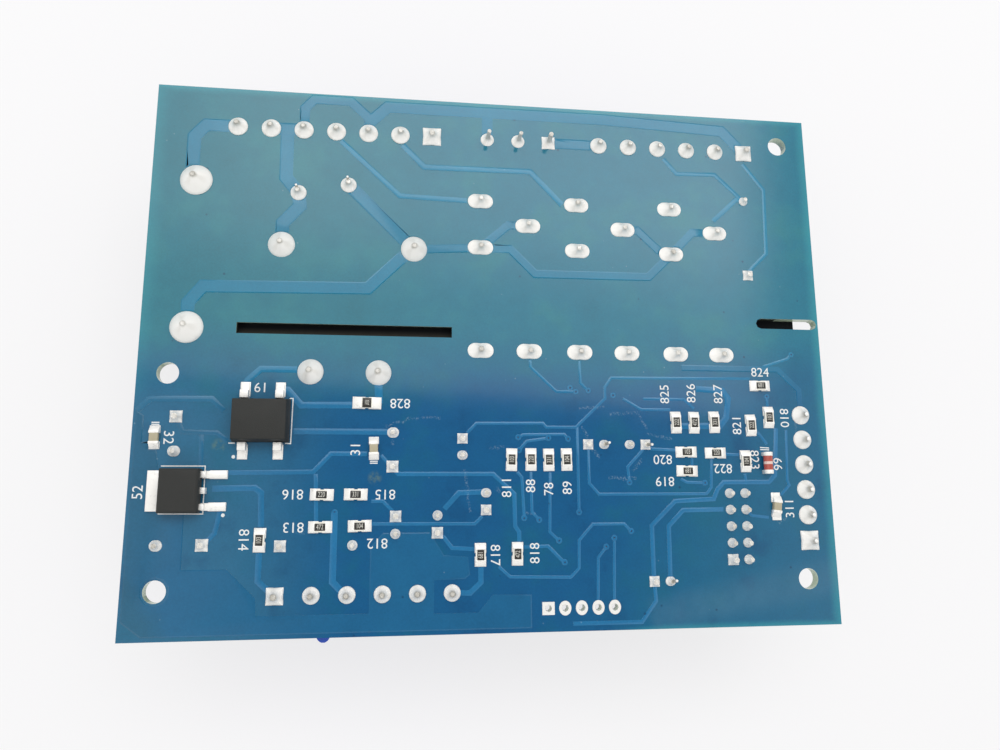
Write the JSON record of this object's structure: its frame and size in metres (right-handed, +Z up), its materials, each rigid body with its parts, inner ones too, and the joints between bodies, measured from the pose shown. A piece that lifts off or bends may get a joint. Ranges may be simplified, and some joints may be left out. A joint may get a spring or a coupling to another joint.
{
  "type": "boiler control board",
  "caption": "blue control board of a boiler, soldered side up, with relays, transformer, fuse and headers hanging from its component side",
  "frame": {"origin": "middle of the bounding box's bottom, on the table under the board's middle", "axes": "+X along the board's long edge, +Y along its short edge towards the power headers, +Z up, away from the table, out of the soldered side"},
  "size_m": [0.1072, 0.086, 0.0298],
  "materials": {
    "circuit_board": "glossy blue solder lacquer over glass-fibre laminate",
    "power_tracks": "glossy blue solder lacquer over copper",
    "solder_joints": "bright tin solder",
    "resistor_bodies": "black glazed chip",
    "resistor_ends": "tinned and soldered",
    "chip_capacitor_bodies": "tan ceramic",
    "chip_capacitor_ends": "tinned and soldered",
    "glass_diode_body": "amber-red glass",
    "glass_diode_caps": "tinned",
    "bridge_rectifier_body": "charcoal moulding",
    "bridge_rectifier_leads": "tinned",
    "regulator_body": "charcoal moulding",
    "regulator_tab_and_leads": "tinned",
    "transformer_core": "varnished silicon steel plates",
    "transformer_bobbin": "black glass-filled nylon",
    "transformer_windings": "yellow winding tape",
    "transformer_pins": "tinned",
    "slot_barriers": "matt black insulating plastic strips",
    "relay_1_case": "black moulding",
    "relay_1_base": "black moulding",
    "relay_2_case": "black moulding",
    "relay_2_base": "black moulding",
    "relay_3_case": "black moulding",
    "relay_3_base": "black moulding",
    "relay_pins": "tinned",
    "fuse_base": "black moulding",
    "fuse_clips": "tinned spring brass",
    "fuse_glass": "clear glass",
    "fuse_caps": "nickelled",
    "varistor_disc": "blue dipped epoxy",
    "varistor_leads": "tinned",
    "supply_header": "blue moulding",
    "supply_posts": "tinned",
    "pump_header": "blue moulding",
    "pump_posts": "tinned",
    "load_header": "blue moulding",
    "load_posts": "tinned",
    "sensor_header": "blue moulding",
    "sensor_posts": "tinned",
    "panel_header": "white nylon",
    "panel_posts": "tinned",
    "ribbon_header": "black moulding",
    "ribbon_posts": "gilt",
    "electrolytic_1": "dark shrink sleeve on an aluminium can",
    "electrolytic_2": "dark shrink sleeve on an aluminium can",
    "electrolytic_3": "dark shrink sleeve on an aluminium can",
    "electrolytic_leads": "tinned",
    "axial_diodes": "black moulding",
    "axial_diode_wires": "tinned",
    "disc_capacitors": "dipped ceramic",
    "disc_capacitor_leads": "tinned",
    "link_bases": "black moulding",
    "link_caps": "red moulding",
    "link_posts": "gilt",
    "indicator_lamps": "tinted resin",
    "indicator_lamp_leads": "tinned",
    "controller_body": "black moulding",
    "controller_leads": "tinned",
    "driver_body": "black moulding",
    "driver_leads": "tinned"
  },
  "bodies": {
    "root": {"circuit_board": "circuit_board", "power_tracks": "power_tracks", "solder_joints": "solder_joints", "resistor_bodies": "resistor_bodies", "resistor_ends": "resistor_ends", "chip_capacitor_bodies": "chip_capacitor_bodies", "chip_capacitor_ends": "chip_capacitor_ends", "glass_diode_body": "glass_diode_body", "glass_diode_caps": "glass_diode_caps", "bridge_rectifier_body": "bridge_rectifier_body", "bridge_rectifier_leads": "bridge_rectifier_leads", "regulator_body": "regulator_body", "regulator_tab_and_leads": "regulator_tab_and_leads", "transformer_core": "transformer_core", "transformer_bobbin": "transformer_bobbin", "transformer_windings": "transformer_windings", "transformer_pins": "transformer_pins", "slot_barriers": "slot_barriers", "relay_1_case": "relay_1_case", "relay_1_base": "relay_1_base", "relay_2_case": "relay_2_case", "relay_2_base": "relay_2_base", "relay_3_case": "relay_3_case", "relay_3_base": "relay_3_base", "relay_pins": "relay_pins", "fuse_base": "fuse_base", "fuse_clips": "fuse_clips", "fuse_glass": "fuse_glass", "fuse_caps": "fuse_caps", "varistor_disc": "varistor_disc", "varistor_leads": "varistor_leads", "supply_header": "supply_header", "supply_posts": "supply_posts", "pump_header": "pump_header", "pump_posts": "pump_posts", "load_header": "load_header", "load_posts": "load_posts", "sensor_header": "sensor_header", "sensor_posts": "sensor_posts", "panel_header": "panel_header", "panel_posts": "panel_posts", "ribbon_header": "ribbon_header", "ribbon_posts": "ribbon_posts", "electrolytic_1": "electrolytic_1", "electrolytic_2": "electrolytic_2", "electrolytic_3": "electrolytic_3", "electrolytic_leads": "electrolytic_leads", "axial_diodes": "axial_diodes", "axial_diode_wires": "axial_diode_wires", "disc_capacitors": "disc_capacitors", "disc_capacitor_leads": "disc_capacitor_leads", "link_bases": "link_bases", "link_caps": "link_caps", "link_posts": "link_posts", "indicator_lamps": "indicator_lamps", "indicator_lamp_leads": "indicator_lamp_leads", "controller_body": "controller_body", "controller_leads": "controller_leads", "driver_body": "driver_body", "driver_leads": "driver_leads"}
  },
  "joints": []
}
